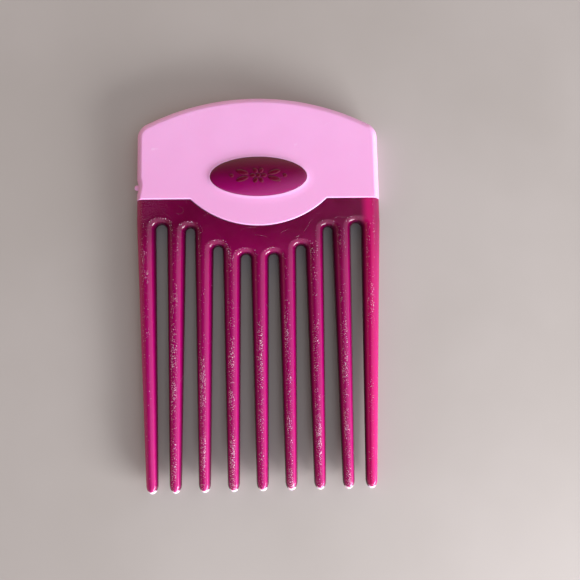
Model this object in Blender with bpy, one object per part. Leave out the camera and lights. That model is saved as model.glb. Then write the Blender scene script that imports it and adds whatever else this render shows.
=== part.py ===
"""Wide tooth pocket comb: a clear plastic comb core with a grip moulded over its spine.

Metres, +Z up. The comb lies on the back of its grip, front face up, with the grip towards +Y and the
tips of the teeth towards -Y. The origin is on the rest plane, under the middle of the comb's outline.
Both pieces are modelled about the comb's mid-plane, where the two halves of the mould part.
"""

import math

import bmesh
import bpy

MM = 0.001

# The comb's outline at the parting plane
HALF_WIDTH = 30.0 * MM
HALF_LENGTH = 48.15 * MM
FIT_GAP = 0.3 * MM  # kept wherever the grip meets the core

# Teeth: each edge is straight from the root height down to the tip's shoulder
TOOTH_COUNT = 9
TOOTH_PITCH = 6.765 * MM
ROOT_Y = 16.0 * MM
SHOULDER_Y = -46.0 * MM
ROOT_HALF_WIDTH = 2.38 * MM
SHOULDER_HALF_WIDTH = 1.43 * MM
OUTER_SHOULDER_X = 25.72 * MM  # the outer teeth lean in towards their tips
TAPER_Y = 6.0 * MM  # below this the teeth get thinner as well as narrower
TAPER_STEPS = 5
SLOT_CENTRES_Y = (7.0 * MM, 9.1 * MM, 13.8 * MM, 14.5 * MM)  # round ends, from the middle outwards
SLOT_STEPS = 10
TIP_STEPS = 8

# Thickness of the core, and the flank along each of its edges
PLATE_HALF_THICKNESS = 2.3 * MM
TIP_HALF_THICKNESS = 1.5 * MM
FLANK_WIDTH = 1.15 * MM
TIP_FLANK_WIDTH = 0.75 * MM
# (inset, height) up half an edge, as parts of the flank's width and the half thickness: the last
# step is the low crown that runs on past the flank's shoulder
CORE_PROFILE = ((0.0, 0.0), (0.2, 0.35), (0.55, 0.64), (1.0, 0.872), (1.8, 1.0))

# Grip
GRIP_HALF_THICKNESS = 2.7 * MM
GRIP_PROFILE = ((0.0, 0.0), (0.0625, 0.25), (0.25, 0.5), (0.5625, 0.75), (1.0, 1.0))  # a parabola
CROWN_RADIUS = 60.5 * MM
CORNER_RADIUS = 4.0 * MM
SKIRT_Y = 21.67 * MM  # straight lower edge at each side
BELLY_Y = 14.95 * MM  # lowest point of the round lower edge in the middle
BELLY_RADIUS = 24.1 * MM
SIDE_FLANK_WIDTH = 1.7 * MM
CROWN_FLANK_WIDTH = 2.3 * MM
CROWN_STEPS = 24
CORNER_STEPS = 6
BELLY_STEPS = 20

# Tongue: the thin part of the core inside the grip
TONGUE_HALF_THICKNESS = 1.1 * MM
TONGUE_SIDE_INSET = 2.8 * MM
TONGUE_ROOT_OVERLAP = 1.5 * MM
WINDOW_CENTRES = (
    (-20.5 * MM, 29.5 * MM),
    (20.5 * MM, 29.5 * MM),
    (-10.0 * MM, 38.5 * MM),
    (10.0 * MM, 38.5 * MM),
)
WINDOW_RADIUS = 2.2 * MM
WINDOW_SIDES = 20
PLUG_HALF_LENGTH = 1.9 * MM  # ends inside the two skins

# Oval boss: on the tongue, up through both skins
BOSS_Y = 27.09 * MM
BOSS_HALF_WIDTH = 11.9 * MM
BOSS_HALF_HEIGHT = 4.96 * MM
BOSS_CROWN = 1.0 * MM  # how far the dome rises above the grip's front
BOSS_BACK_RECESS = 0.2 * MM
BOSS_SIDES = 48
BOSS_RINGS = 4

# Gate mark on the left edge, where the grip's plastic was injected
GATE_Y = 25.2 * MM
GATE_RADIUS = 0.65 * MM
GATE_SIDES = 14
GATE_LENGTH = 1.6 * MM
GATE_REACH = 0.6 * MM  # how far the broken nub stands out
SCOOP_DEPTH = 0.3 * MM
SCOOP_HALF_CHORD = 1.8 * MM
SCOOP_SIDES = 192

CUTTER_REACH = 10.0 * MM
SHARP_ANGLE = math.radians(35.0)


def blend(start, end, part):
    """The value that is this part of the way from start to end."""
    return start + (end - start) * part


def arc(cx, cy, rx, ry, start, end, steps):
    """Points along an ellipse's arc, both ends included; angles in radians."""
    angles = [blend(start, end, i / steps) for i in range(steps + 1)]
    return [(cx + rx * math.cos(a), cy + ry * math.sin(a)) for a in angles]


# ---------------------------------------------------------------- teeth and plate


def tooth_part(y):
    """0 at the root height and 1 at the tip's shoulder."""
    return (ROOT_Y - y) / (ROOT_Y - SHOULDER_Y)


def taper_part(y):
    """0 down to the taper's start, 1 at the tip's shoulder."""
    return max(0.0, (TAPER_Y - y) / (TAPER_Y - SHOULDER_Y))


def tooth_half_width(y):
    return blend(ROOT_HALF_WIDTH, SHOULDER_HALF_WIDTH, tooth_part(y))


def tooth_centre(index, y):
    """X of a tooth's middle at height y; tooth 0 is the leftmost."""
    side = index - TOOTH_COUNT // 2
    if abs(side) < TOOTH_COUNT // 2:
        return side * TOOTH_PITCH
    root_x = HALF_WIDTH - ROOT_HALF_WIDTH
    return math.copysign(blend(root_x, OUTER_SHOULDER_X, tooth_part(y)), side)


def tooth_edge(index, side, y):
    """X of a tooth's left (side -1) or right (side 1) edge."""
    return tooth_centre(index, y) + side * tooth_half_width(y)


def flank_width(y):
    return blend(FLANK_WIDTH, TIP_FLANK_WIDTH, min(1.0, taper_part(y)))


def core_half_thickness(y):
    return blend(PLATE_HALF_THICKNESS, TIP_HALF_THICKNESS, min(1.0, taper_part(y)))


def core_station(outer, inner):
    """One upright line of the core's edge: its foot, the flank's shoulder and the height."""
    return outer, inner, core_half_thickness(inner[1])


def edge_heights():
    """Heights of the stations that every tooth edge has, from the taper's start to the shoulder."""
    return [blend(TAPER_Y, SHOULDER_Y, i / TAPER_STEPS) for i in range(TAPER_STEPS + 1)]


def tooth_side(index, side):
    """Stations down one edge of a tooth, from the taper's start to the shoulder."""
    stations = []
    for y in edge_heights():
        x = tooth_edge(index, side, y)
        stations.append(core_station((x, y), (x - side * flank_width(y), y)))
    return stations


def tooth_tip(index):
    """Stations round a tip, from the left shoulder to the right one, without the shoulders."""
    half = SHOULDER_HALF_WIDTH
    length = SHOULDER_Y + HALF_LENGTH
    centre = (tooth_centre(index, SHOULDER_Y), SHOULDER_Y)
    outer = arc(*centre, half, length, math.pi, 2.0 * math.pi, TIP_STEPS)
    inset = TIP_FLANK_WIDTH
    inner = arc(*centre, half - inset, length - inset, math.pi, 2.0 * math.pi, TIP_STEPS)
    return [core_station(a, b) for a, b in zip(outer[1:-1], inner[1:-1])]


def slot_end(index):
    """Stations over the round end of the slot to the right of a tooth, from its left to its right."""
    y = SLOT_CENTRES_Y[int(abs(index - (TOOTH_COUNT - 2) / 2))]
    left = tooth_edge(index, 1, y)
    right = tooth_edge(index + 1, -1, y)
    centre = ((left + right) / 2.0, y)
    radius = (right - left) / 2.0
    outer = arc(*centre, radius, radius, math.pi, 0.0, SLOT_STEPS)
    grown = radius + FLANK_WIDTH
    inner = arc(*centre, grown, grown, math.pi, 0.0, SLOT_STEPS)
    return [core_station(a, b) for a, b in zip(outer, inner)]


def plate_side(side):
    """Stations down one side of the plate, from the grip to the root of the outer tooth."""
    x = side * HALF_WIDTH
    inner = x - side * FLANK_WIDTH
    heights = (SKIRT_Y - FIT_GAP, ROOT_Y)
    return [core_station((x, y), (inner, y)) for y in heights]


# ---------------------------------------------------------------- grip outlines


def belly_knee(drop):
    """X where the straight lower edge meets the round one, both lowered by drop."""
    rise = BELLY_Y + BELLY_RADIUS - (SKIRT_Y - drop)
    return math.sqrt((BELLY_RADIUS + drop) ** 2 - rise ** 2)


def lower_edge(drop):
    """The grip's lower edge between its knees, from right to left, lowered by drop."""
    centre_y = BELLY_Y + BELLY_RADIUS
    radius = BELLY_RADIUS + drop
    half_angle = math.asin(belly_knee(drop) / radius)
    middle = 1.5 * math.pi
    return arc(0.0, centre_y, radius, radius, middle + half_angle, middle - half_angle, BELLY_STEPS)


def crown(side_inset, top_inset):
    """The grip's sides and top, from the right side's corner to the left one's."""
    half = HALF_WIDTH - side_inset
    centre_y = HALF_LENGTH - CROWN_RADIUS
    radius = CROWN_RADIUS - top_inset
    corner = CORNER_RADIUS - side_inset
    corner_x = half - corner
    corner_y = centre_y + math.sqrt((radius - corner) ** 2 - corner_x ** 2)
    slope = math.atan2(corner_y - centre_y, corner_x)
    right = arc(corner_x, corner_y, corner, corner, 0.0, slope, CORNER_STEPS)
    top = arc(0.0, centre_y, radius, radius, slope, math.pi - slope, CROWN_STEPS)
    left = [(-x, y) for x, y in reversed(right)]
    return right[:-1] + top + left[1:]


def grip_outline(side_inset, top_inset, drop):
    """A closed outline of the grip's shape, counter-clockwise from the lower right corner."""
    half = HALF_WIDTH - side_inset
    foot_y = SKIRT_Y - drop
    lower = list(reversed(lower_edge(drop)))
    return [(half, foot_y)] + crown(side_inset, top_inset) + [(-half, foot_y)] + lower


# ---------------------------------------------------------------- meshes


def new_object(name, mesh_data, frame):
    """Make an object from a finished bmesh and put it in the comb's mid-plane frame."""
    bmesh.ops.recalc_face_normals(mesh_data, faces=mesh_data.faces)
    mesh = bpy.data.meshes.new(name)
    mesh_data.to_mesh(mesh)
    mesh_data.free()
    made = bpy.data.objects.new(name, mesh)
    bpy.context.collection.objects.link(made)
    made.parent = frame
    return made


def flank_rings(shape, stations, profile):
    """Rings of vertices from the back face to the front one, joined by quads.

    Each station's line follows the profile up from the parting plane, and its mirror image down.
    """
    mirrored = [(inset, -height) for inset, height in reversed(profile[1:])]
    rings = []
    for inset, height in mirrored + list(profile):
        ring = []
        for outer, inner, top in stations:
            x = blend(outer[0], inner[0], inset)
            y = blend(outer[1], inner[1], inset)
            ring.append(shape.verts.new((x, y, top * height)))
        rings.append(ring)
    for low, high in zip(rings, rings[1:]):
        for i in range(len(low)):
            j = (i + 1) % len(low)
            shape.faces.new((low[i], low[j], high[j], high[i]))
    return rings


def prism(shape, outline, bottom, top):
    """Add an upright prism with a counter-clockwise outline."""
    low = [shape.verts.new((x, y, bottom)) for x, y in outline]
    high = [shape.verts.new((x, y, top)) for x, y in outline]
    for i in range(len(low)):
        j = (i + 1) % len(low)
        shape.faces.new((low[i], low[j], high[j], high[i]))
    shape.faces.new(list(reversed(low)))
    shape.faces.new(high)


def ellipse(cx, cy, rx, ry, sides):
    return arc(cx, cy, rx, ry, 0.0, 2.0 * math.pi, sides)[:-1]


def helper(name, shape, frame):
    """An object that only serves a Boolean."""
    made = new_object(name, shape, frame)
    made.hide_render = True
    made.display_type = "WIRE"
    return made


def combine(target, operation, other):
    modifier = target.modifiers.new(other.name, "BOOLEAN")
    modifier.operation = operation
    modifier.solver = "EXACT"
    modifier.object = other


def finish_piece(target, material):
    """Settle the Booleans into the mesh, then give it its material and its sharp edges."""
    depsgraph = bpy.context.evaluated_depsgraph_get()
    target.data = bpy.data.meshes.new_from_object(target.evaluated_get(depsgraph))
    target.data.name = target.name
    target.modifiers.clear()
    target.data.materials.clear()
    target.data.materials.append(material)
    target.data.shade_smooth()
    target.data.set_sharp_from_angle(angle=SHARP_ANGLE)


# ---------------------------------------------------------------- comb core


def core_stations():
    """All stations of the core's edge, and where each tooth's own stations start."""
    stations = plate_side(-1)
    tooth_starts = []
    for index in range(TOOTH_COUNT):
        tooth_starts.append(len(stations))
        stations += tooth_side(index, -1) + tooth_tip(index) + list(reversed(tooth_side(index, 1)))
        if index < TOOTH_COUNT - 1:
            stations += slot_end(index)
    stations += list(reversed(plate_side(1)))
    border = lower_edge(FIT_GAP)
    stations += [(point, point, PLATE_HALF_THICKNESS) for point in border]
    return stations, tooth_starts


def close_core_face(shape, ring, tooth_starts):
    """Fill the flat face of the plate, and the narrow crest down the middle of each tooth."""
    tooth_length = 2 * (TAPER_STEPS + 1) + TIP_STEPS - 1
    plate = list(ring)
    for start in reversed(tooth_starts):
        left, right = start, start + tooth_length - 1
        del plate[left + 1:right]
        while right - left > 2:
            shape.faces.new((ring[left], ring[left + 1], ring[right - 1], ring[right]))
            left, right = left + 1, right - 1
        shape.faces.new((ring[left], ring[left + 1], ring[right]))
    shape.faces.new(plate)


def make_blade(frame):
    """The plate and its teeth."""
    shape = bmesh.new()
    stations, tooth_starts = core_stations()
    rings = flank_rings(shape, stations, CORE_PROFILE)
    for ring in (rings[0], rings[-1]):
        close_core_face(shape, ring, tooth_starts)
    return new_object("comb_core", shape, frame)


def make_tongue(frame):
    """The thin part inside the grip, with a window for each plug."""
    shape = bmesh.new()
    outline = grip_outline(TONGUE_SIDE_INSET, TONGUE_SIDE_INSET, FIT_GAP + TONGUE_ROOT_OVERLAP)
    prism(shape, outline, -TONGUE_HALF_THICKNESS, TONGUE_HALF_THICKNESS)
    tongue = helper("tongue_guide", shape, frame)
    shape = bmesh.new()
    for x, y in WINDOW_CENTRES:
        prism(shape, ellipse(x, y, WINDOW_RADIUS, WINDOW_RADIUS, WINDOW_SIDES), -CUTTER_REACH, CUTTER_REACH)
    combine(tongue, "DIFFERENCE", helper("window_cutter", shape, frame))
    return tongue


def make_boss(frame):
    """The oval boss: an upright wall with a low dome on the front."""
    shape = bmesh.new()
    rim_z = GRIP_HALF_THICKNESS
    rings = []
    levels = [(1.0, -rim_z + BOSS_BACK_RECESS)]
    for step in range(BOSS_RINGS):
        size = 1.0 - step / BOSS_RINGS
        levels.append((size, rim_z + BOSS_CROWN * (1.0 - size ** 2)))
    for size, z in levels:
        outline = ellipse(0.0, BOSS_Y, BOSS_HALF_WIDTH * size, BOSS_HALF_HEIGHT * size, BOSS_SIDES)
        rings.append([shape.verts.new((x, y, z)) for x, y in outline])
    for low, high in zip(rings, rings[1:]):
        for i in range(BOSS_SIDES):
            j = (i + 1) % BOSS_SIDES
            shape.faces.new((low[i], low[j], high[j], high[i]))
    shape.faces.new(list(reversed(rings[0])))
    peak = shape.verts.new((0.0, BOSS_Y, rim_z + BOSS_CROWN))
    for i in range(BOSS_SIDES):
        shape.faces.new((rings[-1][i], rings[-1][(i + 1) % BOSS_SIDES], peak))
    return helper("boss_guide", shape, frame)


def make_comb_core(frame):
    core = make_blade(frame)
    combine(core, "UNION", make_tongue(frame))
    combine(core, "UNION", make_boss(frame))
    finish_piece(core, clear_magenta_plastic())


# ---------------------------------------------------------------- grip overmould


def make_grip_body(frame):
    """The grip's outer shape, solid."""
    outer = grip_outline(0.0, 0.0, 0.0)
    inner = grip_outline(SIDE_FLANK_WIDTH, CROWN_FLANK_WIDTH, 0.0)
    shape = bmesh.new()
    stations = [(a, b, GRIP_HALF_THICKNESS) for a, b in zip(outer, inner)]
    rings = flank_rings(shape, stations, GRIP_PROFILE)
    shape.faces.new(list(reversed(rings[0])))
    shape.faces.new(rings[-1])
    return new_object("grip_overmould", shape, frame)


def make_tongue_pocket(frame):
    """The room for the tongue, open at the grip's lower edge."""
    shape = bmesh.new()
    inset = TONGUE_SIDE_INSET - FIT_GAP
    height = TONGUE_HALF_THICKNESS + FIT_GAP
    prism(shape, grip_outline(inset, inset, TONGUE_ROOT_OVERLAP), -height, height)
    return helper("pocket_cutter", shape, frame)


def make_plugs(frame):
    """The columns that join the two skins through the tongue's windows."""
    shape = bmesh.new()
    radius = WINDOW_RADIUS - FIT_GAP
    for x, y in WINDOW_CENTRES:
        prism(shape, ellipse(x, y, radius, radius, WINDOW_SIDES), -PLUG_HALF_LENGTH, PLUG_HALF_LENGTH)
    return helper("plug_guide", shape, frame)


def make_boss_hole(frame):
    shape = bmesh.new()
    outline = ellipse(0.0, BOSS_Y, BOSS_HALF_WIDTH + FIT_GAP, BOSS_HALF_HEIGHT + FIT_GAP, BOSS_SIDES)
    prism(shape, outline, -CUTTER_REACH, CUTTER_REACH)
    return helper("boss_hole_cutter", shape, frame)


def make_gate_scoop(frame):
    """A shallow hollow in the left edge, round the gate mark."""
    shape = bmesh.new()
    radius = (SCOOP_HALF_CHORD ** 2 + SCOOP_DEPTH ** 2) / (2.0 * SCOOP_DEPTH)
    centre_x = -HALF_WIDTH + SCOOP_DEPTH - radius
    prism(shape, ellipse(centre_x, GATE_Y, radius, radius, SCOOP_SIDES), -CUTTER_REACH, CUTTER_REACH)
    return helper("scoop_cutter", shape, frame)


def make_gate_nub(frame):
    """The broken end of the gate: a short rod along X."""
    shape = bmesh.new()
    end_x = -HALF_WIDTH - GATE_REACH
    ring = ellipse(GATE_Y, 0.0, GATE_RADIUS, GATE_RADIUS, GATE_SIDES)
    left = [shape.verts.new((end_x, y, z)) for y, z in ring]
    right = [shape.verts.new((end_x + GATE_LENGTH, y, z)) for y, z in ring]
    for i in range(GATE_SIDES):
        j = (i + 1) % GATE_SIDES
        shape.faces.new((left[i], left[j], right[j], right[i]))
    shape.faces.new(list(reversed(left)))
    shape.faces.new(right)
    return helper("nub_guide", shape, frame)


def make_grip_overmould(frame):
    grip = make_grip_body(frame)
    combine(grip, "DIFFERENCE", make_tongue_pocket(frame))
    combine(grip, "UNION", make_plugs(frame))
    combine(grip, "DIFFERENCE", make_boss_hole(frame))
    combine(grip, "DIFFERENCE", make_gate_scoop(frame))
    combine(grip, "UNION", make_gate_nub(frame))
    finish_piece(grip, pale_pink_plastic())


# ---------------------------------------------------------------- materials


def plastic(name, colour, roughness, transmission):
    material = bpy.data.materials.new(name)
    material.use_nodes = True
    shader = material.node_tree.nodes["Principled BSDF"]
    shader.inputs["Base Color"].default_value = colour
    shader.inputs["Roughness"].default_value = roughness
    shader.inputs["Metallic"].default_value = 0.0
    shader.inputs["Transmission Weight"].default_value = transmission
    return material


def clear_magenta_plastic():
    return plastic("clear_magenta_plastic", (0.22, 0.003, 0.07, 1.0), 0.15, 0.2)


def pale_pink_plastic():
    return plastic("pale_pink_plastic", (0.87, 0.42, 0.72, 1.0), 0.4, 0.0)


def main():
    for old in list(bpy.data.objects):
        bpy.data.objects.remove(old)
    frame = bpy.data.objects.new("comb_mid_plane", None)
    frame.location = (0.0, 0.0, GRIP_HALF_THICKNESS)
    bpy.context.collection.objects.link(frame)
    make_comb_core(frame)
    make_grip_overmould(frame)


main()
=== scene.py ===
"""Looks of the wide tooth comb: a translucent magenta core with a satin pink grip over its spine.

Metres, +Z up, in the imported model's frame. The outlines are worked out about the comb's mid-plane.
"""

import math
from collections import namedtuple

import bmesh
import bpy
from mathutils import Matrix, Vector


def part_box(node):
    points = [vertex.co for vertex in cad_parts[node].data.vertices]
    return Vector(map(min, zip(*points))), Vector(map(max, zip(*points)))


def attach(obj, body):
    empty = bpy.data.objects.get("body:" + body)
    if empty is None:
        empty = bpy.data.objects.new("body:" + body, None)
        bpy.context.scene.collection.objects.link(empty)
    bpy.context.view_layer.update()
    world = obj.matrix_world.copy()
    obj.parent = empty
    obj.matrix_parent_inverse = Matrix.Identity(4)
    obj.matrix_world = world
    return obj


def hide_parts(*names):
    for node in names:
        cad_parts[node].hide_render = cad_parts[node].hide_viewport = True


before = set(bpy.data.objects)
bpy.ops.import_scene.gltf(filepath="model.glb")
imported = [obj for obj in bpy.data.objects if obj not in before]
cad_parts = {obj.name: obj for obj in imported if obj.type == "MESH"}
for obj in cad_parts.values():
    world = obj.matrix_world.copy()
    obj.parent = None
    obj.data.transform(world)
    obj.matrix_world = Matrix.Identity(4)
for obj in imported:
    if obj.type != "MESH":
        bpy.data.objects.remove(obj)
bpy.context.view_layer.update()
GRIP_LOW, GRIP_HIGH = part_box("grip_overmould")
CORE_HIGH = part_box("comb_core")[1]

MM = 0.001

# The comb's outline at the parting plane
HALF_WIDTH = GRIP_HIGH.x
HALF_LENGTH = GRIP_HIGH.y
MID_Z = (GRIP_LOW.z + GRIP_HIGH.z) / 2.0
CONTACT_GAP = 0.02 * MM  # the grip is moulded tight round the core
MERGE_DISTANCE = 0.001 * MM
SHARP_ANGLE = math.radians(38.0)  # edges that turn more than this are shaded sharp

# Teeth
TOOTH_COUNT = 9
TOOTH_PITCH = 6.765 * MM
ROOT_Y = 16.0 * MM
SHOULDER_Y = -46.0 * MM
ROOT_HALF_WIDTH = 2.38 * MM
SHOULDER_HALF_WIDTH = 1.43 * MM
OUTER_SHOULDER_X = 25.72 * MM  # the outer teeth lean in towards their tips
TAPER_Y = 6.0 * MM  # below this the teeth get thinner as well as narrower
TAPER_STEPS = 14
SLOT_CENTRES_Y = (7.0 * MM, 9.1 * MM, 13.8 * MM, 14.5 * MM)  # round ends, from the middle outwards
SLOT_STEPS = 32
SLOT_TOP_FLANK = 0.5 * MM  # over a slot a narrow flank leads into a broad slope up to the crown's end
SLOT_TOP_CROWN = 1.4 * MM
SLOT_TOP_SHOULDER = 0.75
SLOT_TOP_SOFTNESS = 1.4
TIP_STEPS = 24

# Thickness and flanks of the core
PLATE_HALF_THICKNESS = 2.3 * MM
TIP_HALF_THICKNESS = 1.5 * MM
FLANK_WIDTH = 1.15 * MM
TIP_FLANK_WIDTH = 0.75 * MM
# (inset, height, wear) from the parting line, as parts of the flank's width and the half thickness:
# the bead, then the flank, which leans back more and more up to its shoulder
FLANK_PROFILE = (
    (0.0, 0.0, 0.0),
    (0.012, 0.02, 0.0),
    (0.04, 0.032, 0.0),
    (0.065, 0.15, 0.0),
    (0.12, 0.25, 0.0),
    (0.2, 0.35, 0.0),
    (0.305, 0.45, 0.0),
    (0.43, 0.55, 0.0),
    (0.57, 0.65, 0.05),
    (0.715, 0.74, 0.2),
    (0.818, 0.8, 0.5),
    (0.91, 0.84, 0.8),
    (1.0, 0.872, 1.0),
)
CREST_REACH = 0.85  # the low crown of a tooth runs this far on from the shoulder
CREST_STEPS = 8
LAND_PART = 0.6  # how far the worn land runs in from the crown's end towards a tooth's middle
# Wear at the shoulder and at the crown's end
LEFT_WEAR = (0.75, 0.9)
RIGHT_WEAR = (0.1, 0.9)
PLATE_WEAR = (0.2, 0.9)
SLOT_TOP_WEAR = (0.0, 0.8)
NO_WEAR = (0.0, 0.0)
TIP_WHITE_HEIGHT = 0.95  # the whitened edge of a tip ends at this part of its height
TIP_WHITE_SHARPNESS = 6
# How far the plate's flank, crown and land drop below the grip's edge, in the order of a station's points
BORDER_DROPS = (0.0, 0.12 * MM, 0.22 * MM, 0.5 * MM)
BORDER_STEPS = 48

# Grip
GRIP_HALF_THICKNESS = GRIP_HIGH.z - MID_Z
CROWN_RADIUS = 60.5 * MM
CORNER_RADIUS = 4.0 * MM
SKIRT_Y = 21.67 * MM
BELLY_Y = GRIP_LOW.y
BELLY_RADIUS = 24.1 * MM
SIDE_FLANK_WIDTH = 1.7 * MM
CROWN_FLANK_WIDTH = 2.3 * MM
SHOULDER_SOFTNESS = 0.75
EDGE_FILLET = 0.25 * MM
GRIP_LEVELS = (  # parts of the half thickness, closer together where the shoulder turns
    0.0, 0.15, 0.3, 0.45, 0.58, 0.7, 0.79, 0.84, 0.87, 0.9, 0.925, 0.948, 0.968, 0.983, 0.994, 1.0,
)
CROWN_STEPS = 72
CORNER_STEPS = 16

# Tongue and plugs
TONGUE_HALF_THICKNESS = 1.1 * MM
TONGUE_SIDE_INSET = 2.8 * MM
TONGUE_ROOT_OVERLAP = 1.5 * MM
WINDOW_CENTRES = (
    (-20.5 * MM, 29.5 * MM),
    (20.5 * MM, 29.5 * MM),
    (-10.0 * MM, 38.5 * MM),
    (10.0 * MM, 38.5 * MM),
)
WINDOW_RADIUS = 2.2 * MM
WINDOW_SIDES = 32
PLUG_HALF_LENGTH = 1.9 * MM
CUTTER_REACH = 10.0 * MM

# Oval boss, its collar and its ornament
BOSS_Y = 27.09 * MM
BOSS_HALF_WIDTH = 11.9 * MM
BOSS_HALF_HEIGHT = 4.96 * MM
RELIEF = 0.13 * MM
BOSS_PEAK = CORE_HIGH.z - MID_Z - RELIEF
BOSS_EDGE_RISE = 0.26 * MM
DOME_POWER = 2.6  # above 2, the dome is flatter in the middle and falls away faster near its edge
BOSS_BACK_RECESS = 0.2 * MM
BOSS_SIDES = 112
BOSS_EDGE = ((0.0, -0.2 * MM), (0.03 * MM, -0.08 * MM), (0.1 * MM, -0.02 * MM))  # inset and height
BOSS_DOME_INSET = 0.25 * MM  # the dome starts this far in from the oval
BOSS_RINGS = 12
COLLAR = (  # distance from the oval and height above the face
    (2.4 * MM, 0.0 * MM),
    (1.8 * MM, 0.015 * MM),
    (1.3 * MM, 0.04 * MM),
    (0.9 * MM, 0.07 * MM),
    (0.65 * MM, 0.1 * MM),
    (0.45 * MM, 0.145 * MM),
    (0.3 * MM, 0.195 * MM),
    (0.18 * MM, 0.23 * MM),
    (0.08 * MM, 0.245 * MM),
    (CONTACT_GAP, 0.24 * MM),
)
BACK_HOLE_EDGE = (  # distance from the oval and depth in from the back face
    (CONTACT_GAP, 0.25 * MM),
    (0.05 * MM, 0.1 * MM),
    (0.12 * MM, 0.03 * MM),
    (0.25 * MM, 0.0),
)
LEAVES = (  # centre along and across the oval, half length, half width and turn, on the right side
    (3.9 * MM, 0.85 * MM, 1.6 * MM, 0.6 * MM, 0.28),
    (3.9 * MM, -0.85 * MM, 1.6 * MM, 0.6 * MM, -0.28),
    (6.5 * MM, 0.0 * MM, 0.5 * MM, 0.45 * MM, 0.0),
)
CENTRE_DOT = (0.0 * MM, 0.0 * MM, 0.5 * MM, 0.5 * MM, 0.0)
PETAL_COUNT = 6
PETAL_DISTANCE = 1.38 * MM
PETAL_HALF_LENGTH = 0.72 * MM
PETAL_HALF_WIDTH = 0.5 * MM
LEAF_SIDES = 28
LEAF_ROOT = 0.05 * MM
LEAF_RINGS = (  # part of the leaf's size and height above the dome
    (1.0, -LEAF_ROOT),
    (0.96, 0.5 * RELIEF),
    (0.82, 0.9 * RELIEF),
    (0.5, RELIEF),
)

# Gate mark
GATE_Y = 25.2 * MM
GATE_RADIUS = 0.65 * MM
GATE_REACH = -GRIP_LOW.x - HALF_WIDTH
GATE_LENGTH = 1.4 * MM
GATE_SIDES = 20
GATE_RINGS = (  # distance in from the torn end, part of the radius, and slant
    (0.0, 0.55, 0.0),
    (0.08 * MM, 0.86, 0.12 * MM),
    (0.3 * MM, 1.0, 0.05 * MM),
    (GATE_LENGTH, 1.0, 0.0),
)
TEAR_WAVES = 2  # round the torn edge, with their turn and their part of the slant
TEAR_TURN = 0.7
TEAR_WAVE_PART = 0.6
TEAR_RIPPLES = 5
TEAR_RIPPLE_PART = 0.3
SCOOP_DEPTH = 0.3 * MM
SCOOP_HALF_CHORD = 1.8 * MM
SCOOP_STEPS = 12

# Camera
CAMERA_PLACE = (1.89 * MM, -17.2 * MM, 143.5 * MM)
CAMERA_TURN = (0.1164, -0.0381, -0.0152)
CAMERA_LENS = 36.0  # the lens and the sensor's width, in millimetres
CAMERA_NEAR = 0.01

# Floor, light and room
FLOOR_REACH = 3.0
FLOOR_CELLS = 8
KEY_DIRECTION = Vector((0.7, -0.66, 0.24))
KEY_DISTANCE = 0.45
KEY_SIZE = (0.34, 0.12)
KEY_POWER = 4.5
KEY_COLOUR = (0.96, 0.93, 1.0)
WORLD_COOL = (0.9, 0.9, 1.06, 1.0)
WORLD_BACK = (0.95, 0.76, 0.6, 1.0)
WORLD_WARM = (0.54, 0.33, 0.24, 1.0)
WORLD_DARK = (0.06, 0.045, 0.04, 1.0)
WINDOW_X = 0.78  # the window's side of the room lies along this direction in plan
WINDOW_Y = 0.62
WINDOW_SPREAD = (-0.14, 0.2)
CEILING_RISE = (0.55, 0.8)
BACK_WALL_SPREAD = (0.35, 0.9)


def blend(start, end, part):
    """The value that is this part of the way from start to end."""
    return start + (end - start) * part


def blend_all(a, b, part):
    """The same for two points, or any two lists of numbers."""
    return tuple(blend(start, end, part) for start, end in zip(a, b))


def arc(cx, cy, rx, ry, start, end, steps):
    """Points along an ellipse's arc, both ends included; angles in radians."""
    angles = [blend(start, end, i / steps) for i in range(steps + 1)]
    return [(cx + rx * math.cos(a), cy + ry * math.sin(a)) for a in angles]


def ellipse(cx, cy, rx, ry, sides):
    return arc(cx, cy, rx, ry, 0.0, 2.0 * math.pi, sides)[:-1]


# ---------------------------------------------------------------- camera


def make_camera():
    data = bpy.data.cameras.new("camera")
    data.lens = CAMERA_LENS
    data.sensor_width = CAMERA_LENS
    data.clip_start = CAMERA_NEAR
    camera = bpy.data.objects.new("camera", data)
    camera.rotation_mode = "ZYX"
    camera.location = CAMERA_PLACE
    camera.rotation_euler = CAMERA_TURN
    bpy.context.scene.collection.objects.link(camera)
    bpy.context.scene.camera = camera


make_camera()


# ---------------------------------------------------------------- node graphs

SCRATCH_BEND = 0.6
NOISE_MIDDLE = 0.5


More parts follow.
